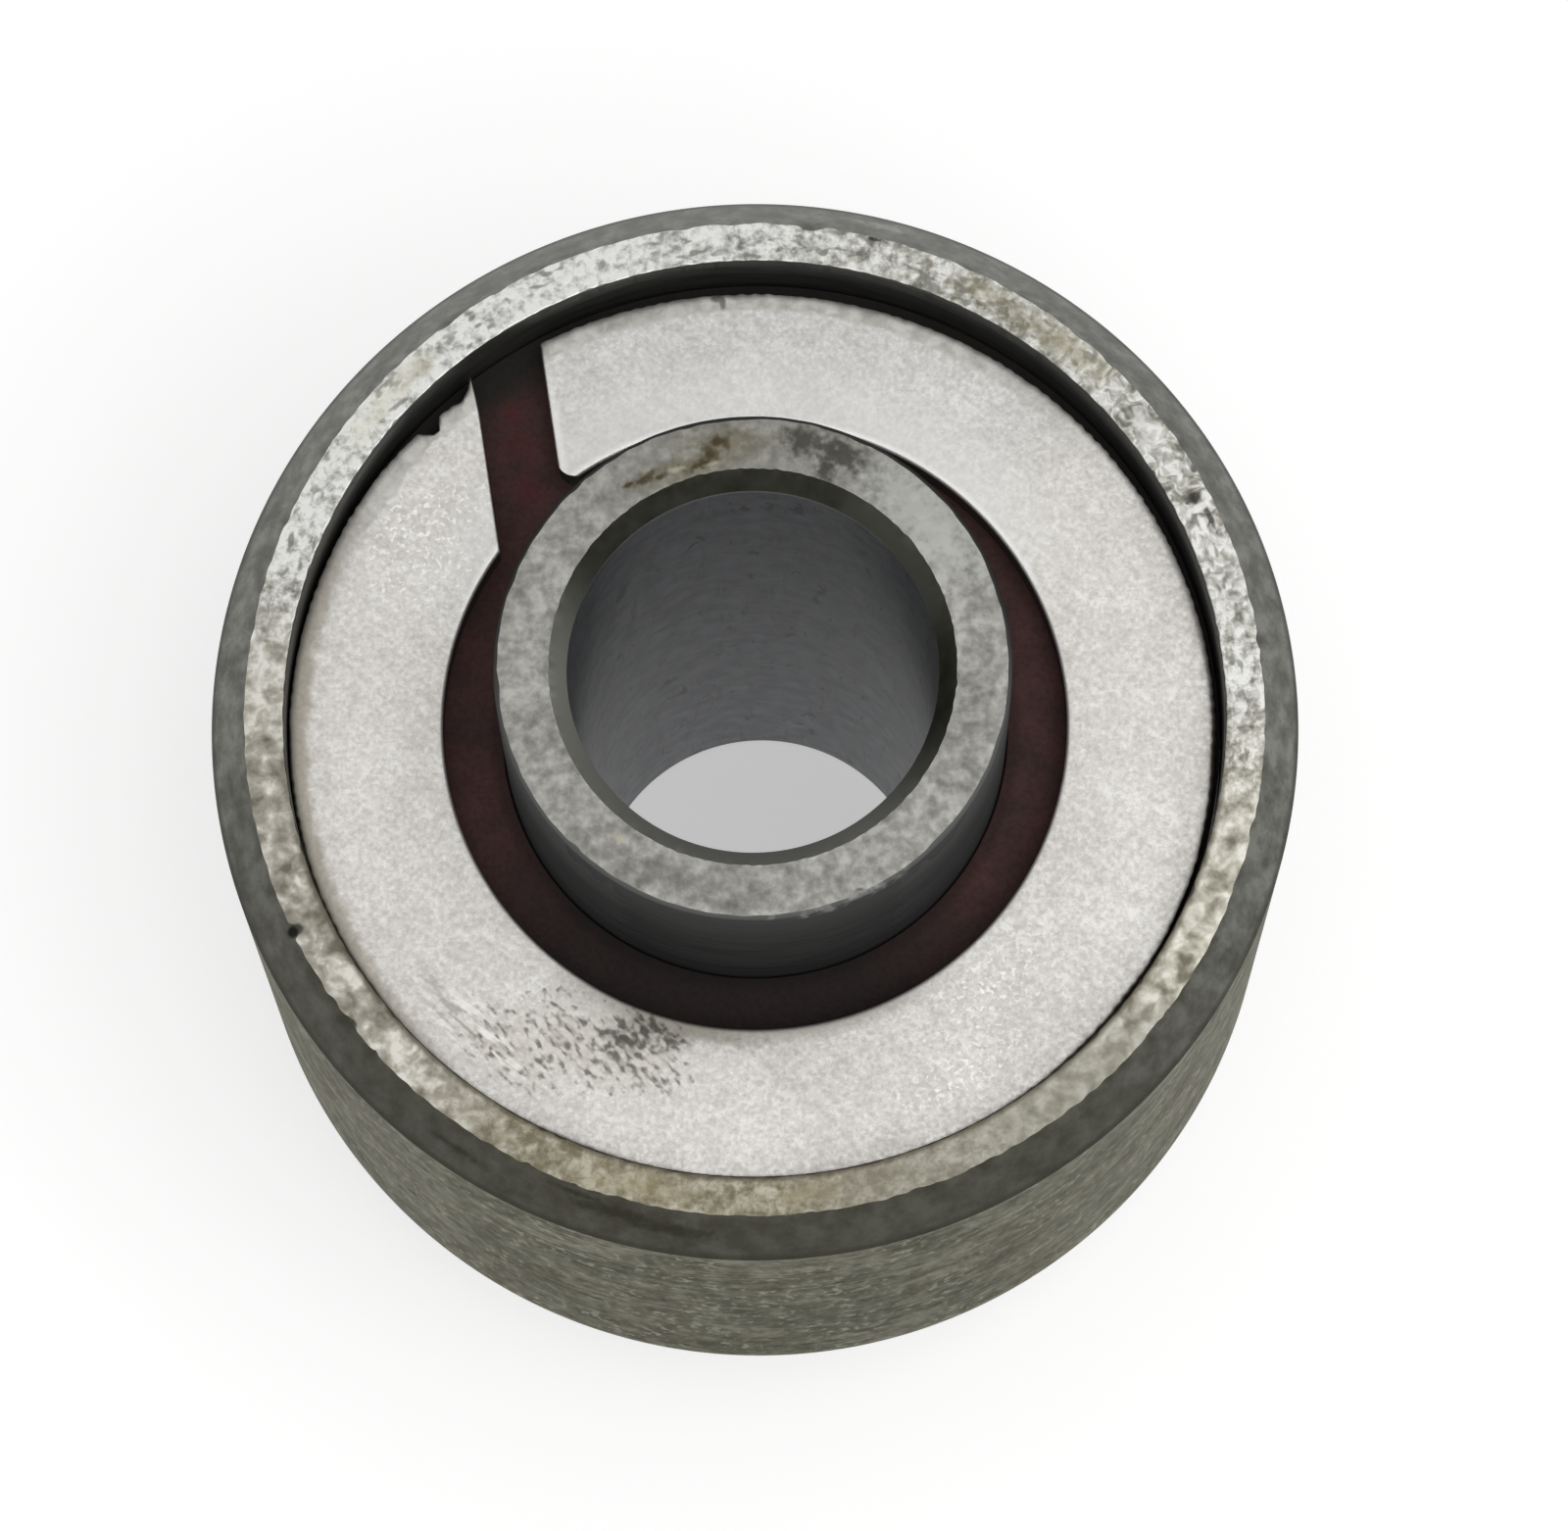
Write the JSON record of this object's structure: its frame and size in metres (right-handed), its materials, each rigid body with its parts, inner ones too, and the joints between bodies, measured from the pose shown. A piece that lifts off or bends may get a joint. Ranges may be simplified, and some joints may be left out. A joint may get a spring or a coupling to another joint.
{
  "type": "miniature ball bearing",
  "caption": "Small double row ball bearing with an inner ring that stands out at both ends, and seal discs under split plates in the recessed ends of the outer ring.",
  "frame": {"origin": "centre of the bearing, on its axis, midway between the two faces", "axes": "+Z along the bearing's axis, towards the end that the picture shows; +X to the right of the picture"},
  "size_m": [0.019, 0.019, 0.019],
  "materials": {
    "ring_steel_dark": "worn dark ground steel",
    "ring_steel_inner": "matt ground steel with light stains",
    "plate_steel": "bright fine-blasted steel",
    "seal_rubber": "matt dark red-brown",
    "cage_plastic": "natural moulded plastic",
    "ball_steel": "polished"
  },
  "bodies": {
    "outer_ring": {"outer_ring": "ring_steel_dark", "upper_seal": "seal_rubber", "lower_seal": "seal_rubber", "upper_plate": "plate_steel", "lower_plate": "plate_steel"},
    "inner_ring": {"inner_ring": "ring_steel_inner"},
    "upper_cage": {"upper_cage": "cage_plastic"},
    "lower_cage": {"lower_cage": "cage_plastic"},
    "upper_ball_1": {"upper_ball_1": "ball_steel"},
    "upper_ball_2": {"upper_ball_2": "ball_steel"},
    "upper_ball_3": {"upper_ball_3": "ball_steel"},
    "upper_ball_4": {"upper_ball_4": "ball_steel"},
    "upper_ball_5": {"upper_ball_5": "ball_steel"},
    "upper_ball_6": {"upper_ball_6": "ball_steel"},
    "upper_ball_7": {"upper_ball_7": "ball_steel"},
    "upper_ball_8": {"upper_ball_8": "ball_steel"},
    "upper_ball_9": {"upper_ball_9": "ball_steel"},
    "lower_ball_1": {"lower_ball_1": "ball_steel"},
    "lower_ball_2": {"lower_ball_2": "ball_steel"},
    "lower_ball_3": {"lower_ball_3": "ball_steel"},
    "lower_ball_4": {"lower_ball_4": "ball_steel"},
    "lower_ball_5": {"lower_ball_5": "ball_steel"},
    "lower_ball_6": {"lower_ball_6": "ball_steel"},
    "lower_ball_7": {"lower_ball_7": "ball_steel"},
    "lower_ball_8": {"lower_ball_8": "ball_steel"},
    "lower_ball_9": {"lower_ball_9": "ball_steel"}
  },
  "joints": [
    {"name": "inner_ring_spin", "type": "hinge", "parent": "outer_ring", "child": "inner_ring", "pos_m": [0, 0, 0], "axis": [0, 0, 1], "continuous": true},
    {"name": "upper_cage_spin", "type": "hinge", "parent": "outer_ring", "child": "upper_cage", "pos_m": [0, 0, 0], "axis": [0, 0, 1], "continuous": true},
    {"name": "lower_cage_spin", "type": "hinge", "parent": "outer_ring", "child": "lower_cage", "pos_m": [0, 0, 0], "axis": [0, 0, 1], "continuous": true},
    {"name": "upper_ball_1_spin", "type": "hinge", "parent": "upper_cage", "child": "upper_ball_1", "pos_m": [0.00635, 0, 0.00215], "axis": [0, 0, 1], "continuous": true},
    {"name": "upper_ball_2_spin", "type": "hinge", "parent": "upper_cage", "child": "upper_ball_2", "pos_m": [0.00486, 0.00408, 0.00215], "axis": [0, 0, 1], "continuous": true},
    {"name": "upper_ball_3_spin", "type": "hinge", "parent": "upper_cage", "child": "upper_ball_3", "pos_m": [0.0011, 0.00625, 0.00215], "axis": [0, 0, 1], "continuous": true},
    {"name": "upper_ball_4_spin", "type": "hinge", "parent": "upper_cage", "child": "upper_ball_4", "pos_m": [-0.00317, 0.0055, 0.00215], "axis": [0, 0, 1], "continuous": true},
    {"name": "upper_ball_5_spin", "type": "hinge", "parent": "upper_cage", "child": "upper_ball_5", "pos_m": [-0.00597, 0.00217, 0.00215], "axis": [0, 0, 1], "continuous": true},
    {"name": "upper_ball_6_spin", "type": "hinge", "parent": "upper_cage", "child": "upper_ball_6", "pos_m": [-0.00597, -0.00217, 0.00215], "axis": [0, 0, 1], "continuous": true},
    {"name": "upper_ball_7_spin", "type": "hinge", "parent": "upper_cage", "child": "upper_ball_7", "pos_m": [-0.00317, -0.0055, 0.00215], "axis": [0, 0, 1], "continuous": true},
    {"name": "upper_ball_8_spin", "type": "hinge", "parent": "upper_cage", "child": "upper_ball_8", "pos_m": [0.0011, -0.00625, 0.00215], "axis": [0, 0, 1], "continuous": true},
    {"name": "upper_ball_9_spin", "type": "hinge", "parent": "upper_cage", "child": "upper_ball_9", "pos_m": [0.00486, -0.00408, 0.00215], "axis": [0, 0, 1], "continuous": true},
    {"name": "lower_ball_1_spin", "type": "hinge", "parent": "lower_cage", "child": "lower_ball_1", "pos_m": [0.00597, 0.00217, -0.00215], "axis": [0, 0, 1], "continuous": true},
    {"name": "lower_ball_2_spin", "type": "hinge", "parent": "lower_cage", "child": "lower_ball_2", "pos_m": [0.00317, 0.0055, -0.00215], "axis": [0, 0, 1], "continuous": true},
    {"name": "lower_ball_3_spin", "type": "hinge", "parent": "lower_cage", "child": "lower_ball_3", "pos_m": [-0.0011, 0.00625, -0.00215], "axis": [0, 0, 1], "continuous": true},
    {"name": "lower_ball_4_spin", "type": "hinge", "parent": "lower_cage", "child": "lower_ball_4", "pos_m": [-0.00486, 0.00408, -0.00215], "axis": [0, 0, 1], "continuous": true},
    {"name": "lower_ball_5_spin", "type": "hinge", "parent": "lower_cage", "child": "lower_ball_5", "pos_m": [-0.00635, 0, -0.00215], "axis": [0, 0, 1], "continuous": true},
    {"name": "lower_ball_6_spin", "type": "hinge", "parent": "lower_cage", "child": "lower_ball_6", "pos_m": [-0.00486, -0.00408, -0.00215], "axis": [0, 0, 1], "continuous": true},
    {"name": "lower_ball_7_spin", "type": "hinge", "parent": "lower_cage", "child": "lower_ball_7", "pos_m": [-0.0011, -0.00625, -0.00215], "axis": [0, 0, 1], "continuous": true},
    {"name": "lower_ball_8_spin", "type": "hinge", "parent": "lower_cage", "child": "lower_ball_8", "pos_m": [0.00317, -0.0055, -0.00215], "axis": [0, 0, 1], "continuous": true},
    {"name": "lower_ball_9_spin", "type": "hinge", "parent": "lower_cage", "child": "lower_ball_9", "pos_m": [0.00597, -0.00217, -0.00215], "axis": [0, 0, 1], "continuous": true}
  ],
  "couplings": [
    {"joint": "upper_cage_spin", "follows": "inner_ring_spin", "ratio": 0.375},
    {"joint": "lower_cage_spin", "follows": "inner_ring_spin", "ratio": 0.375},
    {"joint": "upper_ball_1_spin", "follows": "inner_ring_spin", "ratio": -1.875},
    {"joint": "upper_ball_2_spin", "follows": "inner_ring_spin", "ratio": -1.875},
    {"joint": "upper_ball_3_spin", "follows": "inner_ring_spin", "ratio": -1.875},
    {"joint": "upper_ball_4_spin", "follows": "inner_ring_spin", "ratio": -1.875},
    {"joint": "upper_ball_5_spin", "follows": "inner_ring_spin", "ratio": -1.875},
    {"joint": "upper_ball_6_spin", "follows": "inner_ring_spin", "ratio": -1.875},
    {"joint": "upper_ball_7_spin", "follows": "inner_ring_spin", "ratio": -1.875},
    {"joint": "upper_ball_8_spin", "follows": "inner_ring_spin", "ratio": -1.875},
    {"joint": "upper_ball_9_spin", "follows": "inner_ring_spin", "ratio": -1.875},
    {"joint": "lower_ball_1_spin", "follows": "inner_ring_spin", "ratio": -1.875},
    {"joint": "lower_ball_2_spin", "follows": "inner_ring_spin", "ratio": -1.875},
    {"joint": "lower_ball_3_spin", "follows": "inner_ring_spin", "ratio": -1.875},
    {"joint": "lower_ball_4_spin", "follows": "inner_ring_spin", "ratio": -1.875},
    {"joint": "lower_ball_5_spin", "follows": "inner_ring_spin", "ratio": -1.875},
    {"joint": "lower_ball_6_spin", "follows": "inner_ring_spin", "ratio": -1.875},
    {"joint": "lower_ball_7_spin", "follows": "inner_ring_spin", "ratio": -1.875},
    {"joint": "lower_ball_8_spin", "follows": "inner_ring_spin", "ratio": -1.875},
    {"joint": "lower_ball_9_spin", "follows": "inner_ring_spin", "ratio": -1.875}
  ]
}
